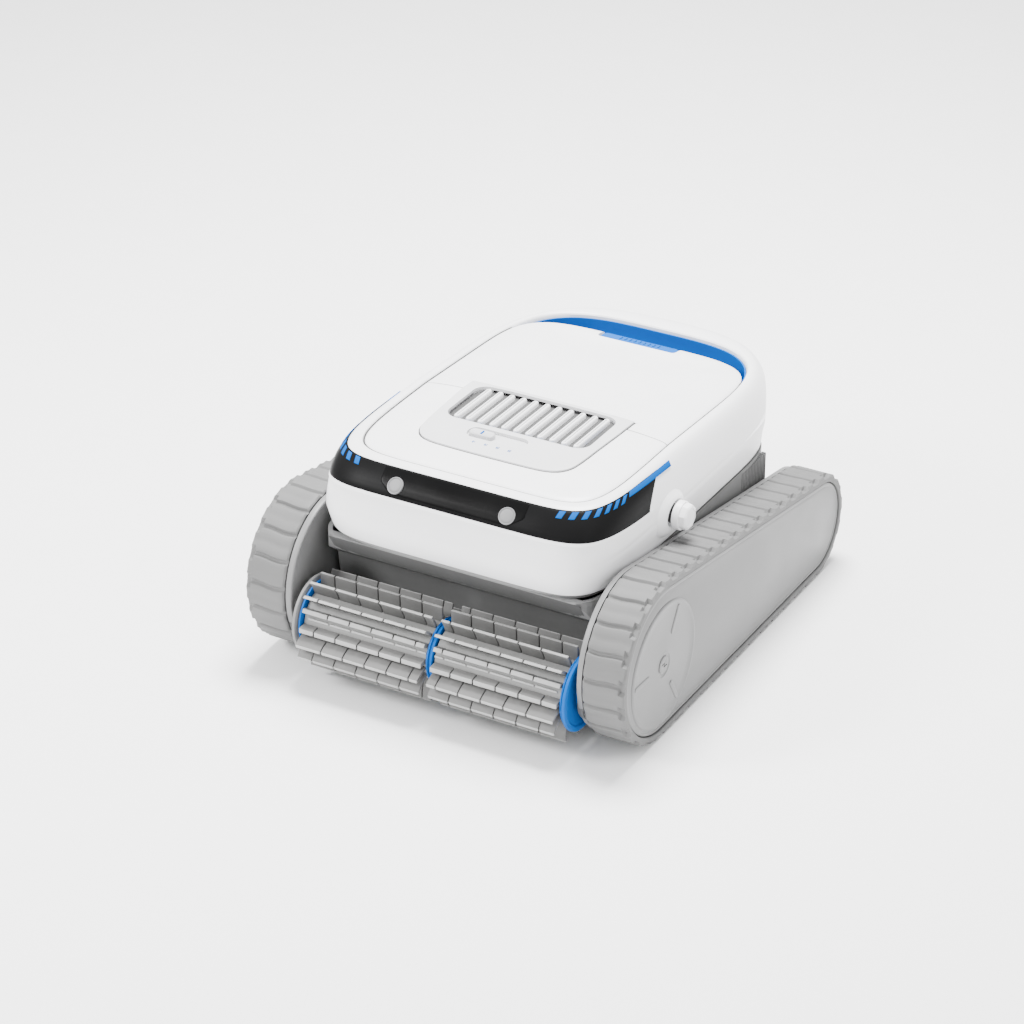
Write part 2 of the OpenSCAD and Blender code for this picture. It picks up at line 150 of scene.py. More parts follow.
def smooth_group():
    """Modifier group that shades smooth but keeps edges over 32 degrees sharp."""
    g = bpy.data.node_groups.new("smooth_by_angle", "GeometryNodeTree")
    g.interface.new_socket("Geometry", in_out="INPUT", socket_type="NodeSocketGeometry")
    g.interface.new_socket("Geometry", in_out="OUTPUT", socket_type="NodeSocketGeometry")
    i, o = g.nodes.new("NodeGroupInput"), g.nodes.new("NodeGroupOutput")
    ang = g.nodes.new("GeometryNodeInputMeshEdgeAngle")
    cmp = g.nodes.new("FunctionNodeCompare")
    cmp.operation = "LESS_THAN"
    cmp.inputs[1].default_value = math.radians(32)
    se, sf = g.nodes.new("GeometryNodeSetShadeSmooth"), g.nodes.new("GeometryNodeSetShadeSmooth")
    se.domain, sf.domain = "EDGE", "FACE"
    g.links.new(i.outputs[0], sf.inputs["Geometry"])
    g.links.new(sf.outputs[0], se.inputs["Geometry"])
    g.links.new(ang.outputs[0], cmp.inputs[0])
    g.links.new(cmp.outputs[0], se.inputs["Shade Smooth"])
    g.links.new(se.outputs[0], o.inputs[0])
    return g


SMOOTH = smooth_group()


def finish_mods(o, bevel=0.0, seg=2, solid=0.0):
    """Thickness, rounded edges and smooth shading, as modifiers; sizes in millimetres."""
    if solid:
        s = o.modifiers.new("solid", "SOLIDIFY")
        s.thickness = solid * MM
        s.offset = -1
    if bevel:
        b = o.modifiers.new("bevel", "BEVEL")
        b.width = bevel * MM
        b.segments = seg
        b.limit_method = "ANGLE"
        b.angle_limit = math.radians(35)
    o.modifiers.new("smooth", "NODES").node_group = SMOOTH


def dress(o, body, reps=(), slot=None, **kw):
    """Modifiers, body and replaced CAD nodes of a piece. The slot argument is not used."""
    finish_mods(o, **kw)
    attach(o, body)
    if reps:
        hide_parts(*reps)


def mk(name, v, f, mat, body="chassis", reps=(), slot=None, **kw):
    """A piece from vertices in millimetres and faces."""
    me = bpy.data.meshes.new(name)
    me.from_pydata([tuple(float(c) * MM for c in p) for p in v], [], [tuple(q) for q in f])
    bm = bmesh.new()
    bm.from_mesh(me)
    bmesh.ops.remove_doubles(bm, verts=bm.verts, dist=1e-6)
    bmesh.ops.recalc_face_normals(bm, faces=bm.faces)
    bm.to_mesh(me)
    bm.free()
    me.materials.append(mat)
    o = bpy.data.objects.new(name, me)
    bpy.context.scene.collection.objects.link(o)
    if body:
        dress(o, body, reps, slot, **kw)
    return o


def bake(o, cutter, op="DIFFERENCE"):
    """Applies one boolean to o's mesh and removes the cutter."""
    m = o.modifiers.new("cut", "BOOLEAN")
    m.object, m.operation, m.solver = cutter, op, "EXACT"
    bpy.context.view_layer.update()
    dg = bpy.context.evaluated_depsgraph_get()
    me = bpy.data.meshes.new_from_object(o.evaluated_get(dg))
    o.modifiers.clear()
    o.data = me
    bpy.data.objects.remove(cutter)
    return o


def grid_faces(nu, nv, wrap_u=False, base=0):
    """Quads of a grid with nv rows of nu points."""
    f = []
    for r in range(nv - 1):
        for c in range(nu if wrap_u else nu - 1):
            d = (c + 1) % nu
            f.append((base + r * nu + c, base + r * nu + d,
                      base + (r + 1) * nu + d, base + (r + 1) * nu + c))
    return f


def loft(rings, close=True, loop=False):
    """Vertices and faces of a closed skin over rings of equal size."""
    n = len(rings[0])
    v = [p for r in rings for p in r]
    f = grid_faces(n, len(rings), True)
    if loop:
        m = len(rings) - 1
        f += [(m * n + i, m * n + (i + 1) % n, (i + 1) % n, i) for i in range(n)]
    elif close:
        f.append(tuple(range(n)))
        f.append(tuple((len(rings) - 1) * n + i for i in range(n)))
    return v, f


def merge(solids):
    """One vertex list and face list from several solids."""
    v, f = [], []
    for a, b in solids:
        f += [tuple(len(v) + q for q in g) for g in b]
        v += a
    return v, f


def lathe_x(prof, y, z, n=96, sx=1):
    """Profile of (x, r) turned about an X axis at y, z."""
    return loft([[(sx * x, y + r * math.cos(2 * math.pi * i / n),
                   z + r * math.sin(2 * math.pi * i / n)) for i in range(n)] for x, r in prof])


def extrude_z(poly, z0, z1):
    """Upright prism on an outline."""
    return loft([[(x, y, z0) for x, y in poly], [(x, y, z1) for x, y in poly]])


def rrect(x0, x1, y0, y1, r, n=8):
    """Rounded rectangle outline, anticlockwise."""
    out = []
    for cx, cy, a in ((x1 - r, y0 + r, -90), (x1 - r, y1 - r, 0), (x0 + r, y1 - r, 90),
                      (x0 + r, y0 + r, 180)):
        out += [(cx + r * math.cos(math.radians(a + 90 * k / n)),
                 cy + r * math.sin(math.radians(a + 90 * k / n))) for k in range(n + 1)]
    return out


def chaikin(p, n=3):
    """Closed outline rounded by n rounds of corner cutting."""
    for _ in range(n):
        q = []
        for i in range(len(p)):
            a, b = np.array(p[i], float), np.array(p[(i + 1) % len(p)], float)
            q += [tuple(a * .75 + b * .25), tuple(a * .25 + b * .75)]
        p = q
    return p


# ---------- body skin ----------

YC = 60.0      # centre line of the body outlines, Y
FALL = 0.045   # slope of the top surfaces towards the rear


def half(w, yf, yb, nf, nb, m=400):
    """Right half of a superellipse outline, front centre to rear centre."""
    t = np.linspace(-math.pi / 2, math.pi / 2, m)
    c, s = np.cos(t), np.sin(t)
    n = np.where(s < 0, nf, nb)
    x = w * np.abs(c) ** (2 / n)
    y = YC + np.where(s < 0, YC - yf, yb - YC) * np.sign(s) * np.abs(s) ** (2 / n)
    x[0] = x[-1] = 0.0
    return x, y


def outline(w, yf, yb, nf=8.0, nb=3.0, m=150):
    """Whole outline, evenly spaced in each half, anticlockwise from the front centre."""
    x, y = half(w, yf, yb, nf, nb, 1600)
    d = np.concatenate([[0], np.cumsum(np.hypot(np.diff(x), np.diff(y)))])
    s = np.linspace(0, d[-1], m + 1)
    px, py = np.interp(s, d, x), np.interp(s, d, y)
    return [(a, b) for a, b in zip(px, py)] + [(-a, b) for a, b in zip(px[-2:0:-1], py[-2:0:-1])]


#        z      w      yf      yb     nb   k
SKIN = [(144.2, 145.5, -188.6, 196.0, 5.0, 0),
        (143.4, 147.6, -190.6, 198.0, 5.0, 0),
        (143.8, 149.0, -192.2, 199.8, 5.0, 0),
        (145.4, 149.7, -193.4, 200.9, 5.0, 0),
        (149.0, 150.1, -195.2, 202.0, 5.0, 0),
        (157.0, 150.4, -198.6, 203.2, 5.0, 0),
        (168.0, 152.6, -201.0, 203.8, 5.0, 0),
        (173.6, 152.4, -200.8, 204.0, 5.0, 0),
        (174.6, 152.2, -200.7, 206.0, 5.0, 0),
        (175.2, 152.2, -200.6, 248.8, 3.1, 0),
        (176.4, 152.3, -200.4, 252.0, 3.0, 0),
        (180.0, 152.0, -199.9, 253.5, 3.0, 0),
        (188.0, 151.2, -198.4, 253.9, 3.0, 0),
        (196.0, 150.2, -196.0, 253.9, 3.0, 0.004),
        (203.0, 149.2, -192.4, 253.5, 3.0, 0.018),
        (209.0, 147.8, -188.0, 252.6, 3.0, 0.028),
        (214.0, 146.0, -183.2, 251.3, 3.0, 0.036),
        (218.0, 143.8, -178.8, 249.7, 3.0, 0.041),
        (220.8, 141.6, -175.2, 247.8, 3.0, 0.044),
        (222.2, 139.4, -172.2, 244.8, 3.0, 0.045),
        (222.9, 137.0, -169.2, 240.0, 3.1, 0.045),
        (223.0, 134.8, -166.6, 233.0, 3.3, 0.045),
        (222.6, 132.9, -164.2, 226.5, 3.5, 0.045),
        (221.8, 131.8, -162.8, 224.2, 3.6, 0.045),
        (220.4, 131.2, -162.2, 223.2, 3.6, 0.045),
        (216.0, 131.0, -162.0, 222.9, 3.6, 0.045),
        (206.0, 131.0, -162.0, 222.9, 3.6, 0.045),
        (178.0, 131.0, -162.0, 222.9, 3.6, 0)]
TOP = 20


def tilt(z, y, k):
    """Height z lowered towards the rear by slope k."""
    return z - k * max(0.0, y + 15)


rings = [[(x, y, tilt(z, y, k)) for x, y in outline(w, yf, yb, 8.0, nb)]
         for z, w, yf, yb, nb, k in SKIN]
mk("shell", *loft(rings, loop=True), WHITE, reps=("top_shell",), slot="shell_white")

SK = np.array(SKIN[:TOP])


def at(z):
    """Skin parameters at height z on the outer face."""
    return [float(np.interp(z, SK[:, 0], SK[:, i])) for i in range(1, 6)]


def skin_pt(z, s, off=0.0):
    """Point at arc distance s from the front centre line, on the skin at height z."""
    w, yf, yb, nb, k = at(z)
    x, y = half(w, yf, yb, 8.0, nb, 600)
    d = np.concatenate([[0], np.cumsum(np.hypot(np.diff(x), np.diff(y)))])
    a = abs(s)
    px, py = np.interp(a, d, x), np.interp(a, d, y)
    qx, qy = np.interp(a + 0.6, d, x), np.interp(a + 0.6, d, y)
    tx, ty = qx - px, qy - py
    ln = math.hypot(tx, ty) or 1.0
    px, py = px + off * ty / ln, py - off * tx / ln
    return (math.copysign(px, s) if s else px, py, tilt(z, py, k) + off * 0.35)


def s_of_y(z, yv):
    """Arc distance at which the skin reaches y on the side."""
    w, yf, yb, nb, k = at(z)
    x, y = half(w, yf, yb, 8.0, nb, 600)
    d = np.concatenate([[0], np.cumsum(np.hypot(np.diff(x), np.diff(y)))])
    return float(np.interp(yv, y, d))


def patch(name, sfun, zfun, nu, nv, off, mat, reps=(), slot=None, solid=1.6, bevel=0.35):
    """Skin patch: sfun(u, v) gives the arc distance, zfun(u, v, s) the height."""
    v = []
    for j in range(nv):
        for i in range(nu):
            a, b = i / (nu - 1), j / (nv - 1)
            s = sfun(a, b)
            v.append(skin_pt(zfun(a, b, s), s, off))
    return mk(name, v, grid_faces(nu, nv), mat, reps=reps, slot=slot, solid=solid, bevel=bevel)


def vis_lo(y):
    """Height of the visor's lower edge at y."""
    return float(np.interp(y, [-200, -194, -170, -107, -58], [200.4, 200.0, 197.6, 193.0, 190.4]))


def vis_hi(y):
    """Height of the visor's upper edge at y."""
    return float(np.interp(y, [-200, -176, -165, -110, -58], [221.2, 221.2, 221.2, 220.8, 219.4]))


def y_at(s, z=206.0):
    return skin_pt(z, s)[1]


def vis_z(a, b, s):
    y = y_at(s)
    return vis_lo(y) + (vis_hi(y) - vis_lo(y)) * b


patch("visor_band", lambda a, b: (2 * a - 1) * s_of_y(206, -81 + 1.5 * b), vis_z, 181, 13, 1.1,
      VISOR, reps=("visor",), slot="visor_black", solid=2.2, bevel=0.5)
patch("visor_window",
      lambda a, b: (2 * a - 1) * (62 + 13 * min(1.0, b * 2.2)),
      lambda a, b, s: 202.6 + (vis_hi(y_at(s)) - 0.9 - 202.6) * b, 61, 13, 1.5, VISOR2, bevel=0.25)

patch("visor_lip", lambda a, b: (2 * a - 1) * s_of_y(200, -77),
      lambda a, b, s: vis_lo(y_at(s, 200.0)) - 3.6 + 3.4 * b, 181, 6, 0.95, WHITE2, solid=1.4,
      bevel=0.6)

# Light windows: seven ticks round the front corner, then one stripe along the side.
TICK_PITCH, TICK_W = 11.4, 5.6
for sd, tag in ((-1, "left"), (1, "right")):
    v, f = [], []
    for i in range(7):
        for b in (0.0, 0.5, 1.0):
            for a in (0.0, 0.25, 0.5, 0.75, 1.0):
                s = 106.2 + i * TICK_PITCH + (a - 0.5) * TICK_W + (b - 0.5) * 1.4
                v.append(skin_pt(vis_hi(y_at(s)) - 0.7 - 4.6 * (1 - b), sd * s, 1.5))
        f += grid_faces(5, 3, base=i * 15)
    base = len(v)
    for b in (0.0, 0.5, 1.0):
        for a in np.linspace(0, 1, 41):
            s = 181.5 + 76.0 * a + (1 - b) * (2.0 + 5.0 * a)
            v.append(skin_pt(220.9 - 1.5 * a - (3.6 + 1.2 * a) * (1 - b), sd * s, 1.3))
    f += grid_faces(41, 3, base=base)
    mk("light_" + tag, v, f, LIGHT, reps=("light_bar_" + tag,), slot="light_blue", solid=1.2,
       bevel=0.2)
    # Sensor window: frosted disc with a raised rim, square to the sloping visor.
    c = Vector(skin_pt(209.5, sd * 58.3, 1.4))
    rot = Matrix.Rotation(math.radians(49), 3, "X") @ Matrix.Rotation(math.radians(sd * 4), 3, "Y")
    prof = [(0.05, 1.2), (4.0, 1.15), (6.2, 0.9), (6.8, 0.55), (7.2, 1.1), (7.9, 1.1), (8.2, 0.5),
            (8.2, -1.0)]
    v, f = loft([[c + rot @ Vector((r * math.cos(t), r * math.sin(t), h))
                  for t in np.linspace(0, 2 * math.pi, 49)[:-1]] for r, h in prof])
    mk("sensor_" + tag, v, f, LENS, reps=("lens_" + tag,), slot="lens_grey")


# ---------- deck and lid ----------

def top_z(s, y):
    """Height of the dome at outline scale s (1 at the edge)."""
    e = float(np.interp(s, [0.0, 0.3, 0.6, 0.8, 0.9, 0.95, 0.975, 0.99, 1.0],
                        [7.6, 7.4, 6.6, 5.2, 3.9, 2.9, 2.2, 1.2, 0.0]))
    return 220.3 + e - FALL * max(0.0, y + 15)


def ease(a, b, x):
    """Smooth step from 0 at a to 1 at b."""
    t = min(1.0, max(0.0, (x - a) / (b - a)))
    return t * t * (3 - 2 * t)


def field(x, y):
    """Shallow sunken field down the middle of the lid."""
    return 2.6 * ease(93, 84, abs(x)) * ease(-2, 8, y) * ease(176, 158, y)


def dome_obj(name, lift=0.0, sink=True, z0=205.2):
    """Closed dome shared by the deck, the plate and the lid, raised by lift."""
    sc = [1.0, 0.992, 0.98, 0.965, 0.945, 0.92, 0.89, 0.855, 0.815, 0.77, 0.725, 0.68, 0.64, 0.6,
          0.54, 0.47, 0.4, 0.32, 0.24, 0.16, 0.08, 0.012]
    o = outline(130.0, -161.0, 187.0, 8.0, 5.0, 120)
    rs = [[(x, y, z0) for x, y in o]]
    for s in sc:
        rs.append([(x * s, 13 + (y - 13) * s, top_z(s, 13 + (y - 13) * s) + lift
                    - (field(x * s, 13 + (y - 13) * s) if sink else 0)) for x, y in o])
    return mk(name, *loft(rs), WHITE2, body=None)


def cutter(v, f):
    """Solid for a boolean, removed by bake()."""
    return mk("cutter", v, f, WHITE, body=None)


PLATE = chaikin([(-87, 1.6), (0, 1.6), (87, 1.6), (87, 1.4), (87, -22), (84.5, -62), (83, -92),
                 (80, -112), (66, -124), (30, -125.5), (-30, -125.5), (-66, -124), (-80, -112),
                 (-83, -92), (-84.5, -62), (-87, -22), (-87, 1.4)], 2)
HOLE = rrect(-75.5, 75.5, -75.5, -3.2, 14)
PILL = rrect(-38, 24, -101, -82, 8.5)

deck = dome_obj("deck", sink=False)
bake(deck, cutter(*extrude_z([(-160, 300), (-160, -15.6), (-86.6, -15.6), (-86.6, 1.2),
                              (86.6, 1.2), (86.6, -15.6), (160, -15.6), (160, 300)], 190, 260)))
bake(deck, cutter(*extrude_z(HOLE, 190, 260)))
bake(deck, cutter(*extrude_z(rrect(-40, 26, -103, -80, 9), 222.0, 260)))
groove = cutter(*extrude_z([(x * 1.014, -60 + (y + 60) * 1.018) for x, y in PLATE], 215, 260))
bake(groove, dome_obj("low", lift=-1.4, sink=False))
bake(deck, groove)
dress(deck, "chassis", ("top_deck",), "shell_white", bevel=0.7, seg=3)

plate = dome_obj("control_plate", lift=1.6, sink=False)
plate.data.materials[0] = PLATE_GREY
bake(plate, cutter(*extrude_z(PLATE, 219, 240)), "INTERSECT")
bake(plate, cutter(*extrude_z(HOLE, 190, 260)))
bake(plate, cutter(*extrude_z(PILL, 224.6, 260)))
dress(plate, "chassis", slot="shell_white", bevel=0.7, seg=3)

lid = dome_obj("lid")
bake(lid, cutter(*extrude_z([(-160, -220), (160, -220), (160, -14), (88.4, -14), (88.4, 3.4),
                             (-88.4, 3.4), (-88.4, -14), (-160, -14)], 190, 260)))
bake(lid, cutter(*extrude_z(rrect(-43, 43, 166.4, 200, 3), 208.5, 214.0)))
bake(lid, cutter(*extrude_z(rrect(-43, 43, 170.6, 200, 4), 213.5, 240)))
bake(lid, cutter(*extrude_z(rrect(-30, 30, 163.5, 200, 3), 204.0, 210)))
inner = dome_obj("inner", lift=-4.5, z0=195.0)
inner.scale = (0.945, 0.945, 1.0)
inner.location = (0, 0.0025, 0)
bpy.context.view_layer.update()
inner.data.transform(inner.matrix_world)
inner.matrix_world = Matrix.Identity(4)
keep = cutter(*extrude_z([(-126, 9), (126, 9), (126, 158), (-126, 158)], 190, 260))
bake(inner, keep, "INTERSECT")
bake(lid, inner)
dress(lid, "lid", ("rear_lid",), "shell_white", bevel=0.8, seg=3)

# Latch: a blue thumb tab with grip ribs on the lid's rear edge.
o = rrect(-41.5, 41.5, 171.2, 185.6, 4.5)
rs = [[(x, y, 209.2) for x, y in o]]
for d, h in ((0.0, 0.2), (0.4, 0.7), (1.2, 0.9)):
    rs.append([(x * (1 - d / 42), 178.4 + (y - 178.4) * (1 - d / 7.2),
                212.6 + h - 0.05 * (y - 171)) for x, y in o])
mk("latch_tab", *loft(rs), BLUE, body="latch", reps=("lid_latch",), slot="accent_blue", bevel=0.2)
ribs = [loft([[(x + (i - 4) * 5.2, y, z) for x, y in rrect(-0.9, 0.9, 177.5, 183, 0.8, 3)]
              for z in (211.5, 214.0)]) for i in range(9)]
mk("latch_ribs", *merge(ribs), BLUE, body="latch", slot="accent_blue", bevel=0.25)
mk("latch_tongue", *extrude_z(rrect(-20, 20, 172, 190, 2), 206.2, 209.2), BLUE, body="latch",
   slot="accent_blue", bevel=0.4)

# ---------- seams: dark ribbons as painted shade in the grooves ---
probe = dome_obj("probe", sink=False)
TREE = BVHTree.FromPolygons([p.co for p in probe.data.vertices],
                            [tuple(q.vertices) for q in probe.data.polygons])
bpy.data.objects.remove(probe)


def deck_z(x, y):
    """Height of the plain dome over a point in plan, in millimetres."""
    hit = TREE.ray_cast(Vector((x * MM, y * MM, 0.4)), Vector((0, 0, -1)))[0]
    return hit.z / MM


def seam(name, path, z_of, closed):
    """Dark ribbon standing in a groove along a path in plan: painted shade in the seam."""
    n = len(path)
    v = [(x, y, z_of(x, y) - d) for d in (2.0, 0.1) for x, y in path]
    mk(name, v, grid_faces(n, 2, wrap_u=closed), RUBBER_AND_SEAM_SHADE, slot="rubber_dark", solid=1.0)


side = [q for q in outline(131.0, -162.0, 187.8, 8.0, 5.0, 120)[:121] if q[1] < 148]
edge = [(-x, y) for x, y in side[:0:-1]] + side
# Dark ribbons in the deck and plate grooves: painted shade.
seam("deck_seam_shade", edge, lambda x, y: tilt(221.2, y, FALL), False)
seam("plate_seam_shade", [(x * 1.0095, -60 + (y + 60) * 1.0125) for x, y in PLATE], deck_z, True)

# ---------- outlet grille ----------
bars = []
for i in range(11):
    cx = -63.5 + 12.7 * i
    rs = []
    for d, z in ((0, 221), (0, 226.4), (0.3, 227.3), (0.8, 227.9), (1.6, 228.1)):
        rs.append([(x, y, z - 0.012 * (y + 40)) for x, y in rrect(cx - 2.8 + d, cx + 2.8 - d,
                                                                 -71.5 + d, -5.8 - d, 2.7 - d, 6)])
    g0, g1 = 0.7, 0.5
    rs.append([(x, y, 227.9) for x, y in rrect(cx - g0, cx + g0, -69, -9, 0.9, 6)])
    rs.append([(x, y, 225.6) for x, y in rrect(cx - g1, cx + g1, -68.5, -9.5, 0.5, 6)])
    bars.append(loft(rs))
mk("grille_bars", *merge(bars), WHITE, reps=("grille",), slot="shell_white")
mk("grille_bed", *extrude_z(rrect(-75.2, 75.2, -75.2, -3.5, 13.7), 220.4, 223.2), DARK,
   slot="dark_panel")
# Blue trim along the front and one side of the recess.
mk("duct_trim", *extrude_z(rrect(-61.0, 61.0, -75.0, -72.2, 1), 221, 224.8), BLUE,
   slot="accent_blue", bevel=0.4)
mk("duct_trim_side", *extrude_z(rrect(72.4, 74.8, -60.0, -18.0, 1), 221, 224.8), BLUE,
   slot="accent_blue", bevel=0.4)

# ---------- mode slider ----------
o = rrect(-36, -10, -97, -86, 5)
rs = [[(x, y, 224.5) for x, y in o], [(x, y, 228.6) for x, y in o]]
for d, z in ((0.5, 229.5), (1.2, 229.9), (2.6, 229.5), (3.4, 229.3)):
    rs.append([(-23 + (x + 23) * (1 - d / 13), -91.5 + (y + 91.5) * (1 - d / 5.5), z)
               for x, y in o])
mk("slider_knob", *loft(rs), PANEL, body="slider", reps=("mode_slider",), slot="panel_grey")
mk("slider_mark", *extrude_z(rrect(-23.8, -22.2, -95, -88, 0.7, 4), 229.0, 230.0), BLUE,
   body="slider", slot="accent_blue", bevel=0.2)
mk("slider_bed", *extrude_z(rrect(-39, 25, -102, -81, 9), 222.2, 225.6), PLATE_GREY,
   slot="panel_grey", reps=("control_panel",), bevel=0.3)
# Generic marks: a bar and a count of dots beside each slider position.
marks = []
for i in range(4):
    cx, cy = -23 + 12.5 * i, -108.6
    parts = [rrect(cx - 0.45, cx + 0.45, cy - 1.6, cy + 1.6, 0.4, 4)]
    parts += [rrect(cx + 1.3, cx + 2.2, cy - 0.5 + j, cy + 0.4 + j, 0.4, 4)
              for j in ((0,), (-1, 1), (-1.2, 0.2, 1.6), (-1.4, -0.1, 1.2))[i]]
    z1 = deck_z(cx, cy) + 1.95
    marks += [extrude_z(o, z1 - 2, z1) for o in parts]
mk("mode_marks", *merge(marks), BLUE, slot="accent_blue")

# ---------- handle slot lining ----------
px, py = half(130.4, -162, 222.6, 8.0, 3.6, 1600)
qx, qy = half(130.4, -161, 180.5, 8.0, 5.0, 1600)


def rear_arc(x, y, y0, n=61):
    """Evenly spaced points of the outline behind y0, both sides."""
    back = y > y0
    u = np.linspace(0, 1, back.sum())
    pts = [(float(np.interp(a, u, x[back][::-1])), float(np.interp(a, u, y[back][::-1])))
           for a in np.linspace(0, 1, n)]
    return [(-a, b) for a, b in pts[::-1]][:-1] + pts


outer = rear_arc(px, py, 120)
inner_c = rear_arc(qx, qy, 118)
SEC = [(1.0, 208.6), (1.0, 200), (0.98, 192), (0.93, 186), (0.84, 182.4), (0.7, 181), (0.3, 181),
       (0.16, 182.4), (0.08, 186), (0.04, 192), (0.02, 203)]
v = []
for t, z in SEC:
    for (ax, ay), (bx, by) in zip(outer, inner_c):
        x, y = bx + (ax - bx) * t, by + (ay - by) * t
        v.append((x, y, z - (0.0 if z < 205 else FALL * max(0, y - 187))))
mk("handle_lining", v, grid_faces(len(outer), len(SEC)), BLUE, reps=("handle_liner",),
   slot="accent_blue", solid=1.4)

# ---------- tracks ----------
FY, FZ, RY, RZ, R1, R2 = -150.0, 81.0, 186.0, 55.0, 77.0, 51.0
RUN = RY - FY
A_TOP = 90 + 2 * math.degrees(math.atan2(RZ - FZ, RUN))
ARC_R = R2 * math.radians(A_TOP + 90)
ARC_F = R1 * math.radians(270 - A_TOP)
LOOP = 2 * RUN + ARC_R + ARC_F


def arcp(cy, cz, r, a, h):
    return cy + (r + h) * math.cos(math.radians(a)), cz + (r + h) * math.sin(math.radians(a))


def loop_pt(s, h):
    """Point on the belt loop at path length s, h above the band."""
    s %= LOOP
    if s < RUN:
        return FY + s, 4.0 - h
    if s < RUN + ARC_R:
        return arcp(RY, RZ, R2, -90 + math.degrees((s - RUN) / R2), h)
    if s < 2 * RUN + ARC_R:
        u = (s - RUN - ARC_R) / RUN
        a, b = arcp(RY, RZ, R2, A_TOP, h), arcp(FY, FZ, R1, A_TOP, h)
        return a[0] + (b[0] - a[0]) * u, a[1] + (b[1] - a[1]) * u
    return arcp(FY, FZ, R1, A_TOP + math.degrees((s - 2 * RUN - ARC_R) / R1), h)


LUGS, PITCH = 42, LOOP / 42
PROF = [(-12.83, 1.2), (-12.0, 1.2), (-11.3, 1.7), (-10.7, 3.1), (-10.0, 3.75), (-8.6, 4.0),
        (-5.5, 3.9), (-2.2, 3.35), (0.0, 3.0), (2.2, 3.35), (5.5, 3.9), (8.6, 4.0), (10.0, 3.75),
        (10.7, 3.1), (11.3, 1.7), (12.0, 1.2)]


def belt(sd, tag):
    """Rubber loop with wavy lugs, thinner towards both edges."""
    xs = [158, 158.3, 159.2, 161, 165, 170, 175, 179, 183, 188, 192.5, 194.2, 195.4, 198.4, 199.6,
          200]
    rows = []
    for i in range(LUGS):
        for ds, h in PROF:
            s = 9.6 + i * PITCH + ds
            row = []
            for x in xs:
                wave = 0.9 * math.sin((x - 158) / 42 * 2 * math.pi)
                edge = min(1.0, 0.25 + (x - 158) / 2.2) * min(1.0, 0.25 + (200 - x) / 2.2)
                hh = max(-0.6, h * (0.55 + 0.45 * edge) - 0.9 * (1 - edge))
                if x > 195 and abs(ds) > 8.2:
                    hh = min(hh, 0.4)
                y, z = loop_pt(s + wave, hh)
                row.append((sd * x, y, z))
            for x, h2 in ((200, -3.2), (199.2, -4.0), (158.8, -4.0), (158, -3.2)):
                y, z = loop_pt(s, h2)
                row.append((sd * x, y, z))
            rows.append(row)
    n = len(rows[0])
    v = [p for r in rows for p in r]
    mk("belt_" + tag, v, loft(rows, loop=True)[1], BELT, reps=("track_belt_" + tag,),
       slot="belt_rubber")


def stadium(ra, rb, n=40, cy=FY, cz=FZ, dy=RY, dz=RZ):
    """Outline around both wheels with end radii ra and rb, as (y, z)."""
    ph = math.degrees(math.atan2(dz - cz, dy - cy))
    be = math.degrees(math.asin((ra - rb) / math.hypot(dy - cy, dz - cz)))
    a1, a0 = ph + 90 - be, ph - 90 + be
    out = []
    for k in range(n + 1):
        a = math.radians(a0 + (a1 - a0) * k / n)
        out.append((dy + rb * math.cos(a), dz + rb * math.sin(a)))
    for k in range(n + 1):
        a = math.radians(a1 + (a0 + 360 - a1) * k / n)
        out.append((cy + ra * math.cos(a), cz + ra * math.sin(a)))
    return out


def cover(sd, tag):
    """Smooth side cover with a soft edge, a raised hub disc, three ribs and a slotted cap."""
    rs = []
    for d, x in ((0, 186), (0, 196.6), (0.3, 197.5), (0.9, 198.2), (1.9, 198.5), (3.2, 198.5),
                 (3.8, 198.1), (4.6, 198.1), (5.3, 198.5)):
        rs.append([(sd * x, y, z) for y, z in stadium(72.4 - d, 46.4 - d)])
    mk("cover_" + tag, *loft(rs), COVER, reps=("side_cover_" + tag,), slot="cover_grey")
    prof = [(197.5, 62.6), (198.9, 62.4), (199.6, 61.6), (199.95, 60.4), (199.95, 58.8),
            (199.5, 57.6), (199.1, 56.6), (199.0, 50), (199.0, 16), (199.3, 13), (199.4, 12.2),
            (198.9, 11.4), (198.6, 10.8), (198.6, 0.4)]
    mk("hub_" + tag, *lathe_x(prof, FY, 76, 120, sd), COVER, slot="cover_grey")
    prof = [(198.0, 8.6), (199.2, 8.5), (199.6, 8.0), (199.75, 7.0), (199.75, 0.4)]
    hub = mk("hub_cap_" + tag, *lathe_x(prof, FY, 76, 64, sd), FRAME, body=None)
    for y0, y1, z0, z1 in ((-5.2, 1.0, 1.0, 2.4), (-0.8, 0.8, -2.4, 2.4), (-1.0, 5.2, -2.4, -1.0)):
        bx = loft([[(sd * x, FY + y, 76 + z) for y, z in ((y0, z0), (y1, z0), (y1, z1), (y0, z1))]
                   for x in (199.0, 201.0)])
        bake(hub, cutter(*bx))
    dress(hub, "chassis", slot="frame_grey", bevel=0.2)
    ribs = []
    for a in (60, 178, -60):
        t = math.radians(a)
        o = rrect(29, 57, -2.6, 2.6, 2.5, 6)
        ribs.append(loft([[(sd * x, FY + math.cos(t) * q[0] - math.sin(t) * q[1] * g,
                            76 + math.sin(t) * q[0] + math.cos(t) * q[1] * g) for q in o]
                          for x, g in ((198.6, 1), (199.4, 1), (199.8, 0.75), (199.9, 0.4))]))
    mk("hub_ribs_" + tag, *merge(ribs), COVER, slot="cover_grey")


